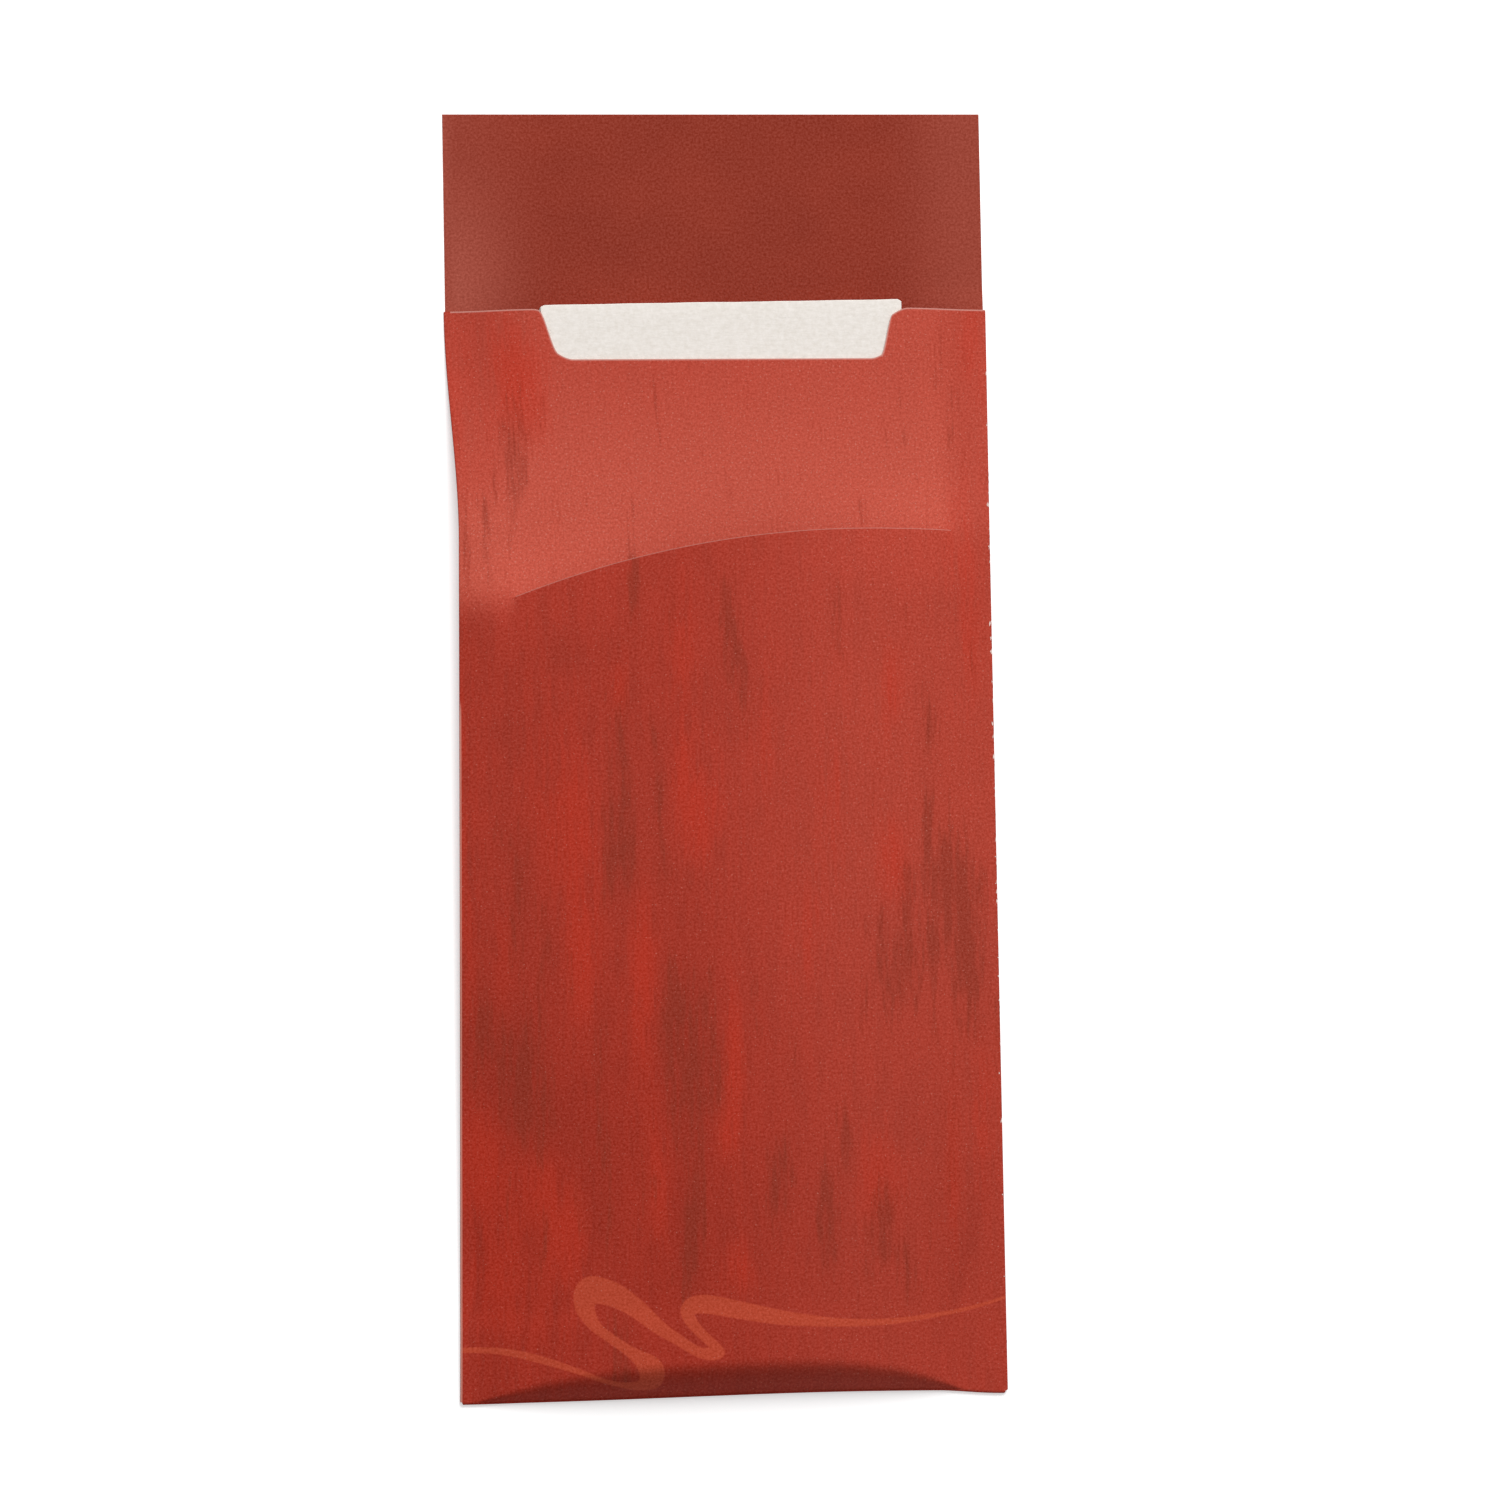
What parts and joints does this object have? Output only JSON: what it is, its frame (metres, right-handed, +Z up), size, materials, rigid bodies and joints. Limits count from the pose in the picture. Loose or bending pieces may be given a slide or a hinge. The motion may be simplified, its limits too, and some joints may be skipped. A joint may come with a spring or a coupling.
{
  "type": "paper cutlery bag",
  "caption": "Flat paper bag for table cutlery, lying on its back, with a thumb notch, an arc-shaped slit over a puffed pocket, and a folded napkin inside.",
  "frame": {"origin": "middle of the bag's outline, on the surface it lies on", "axes": "+X across the bag to the right as seen from above, +Y along it towards its open top, +Z up, away from the surface it lies on"},
  "size_m": [0.085, 0.2, 0.011],
  "materials": {
    "printed_paper": "matt printed paper, red outside and dark red-brown inside",
    "tissue": "soft white tissue"
  },
  "bodies": {
    "root": {"paper_bag": "printed_paper", "napkin": "tissue"}
  },
  "joints": []
}
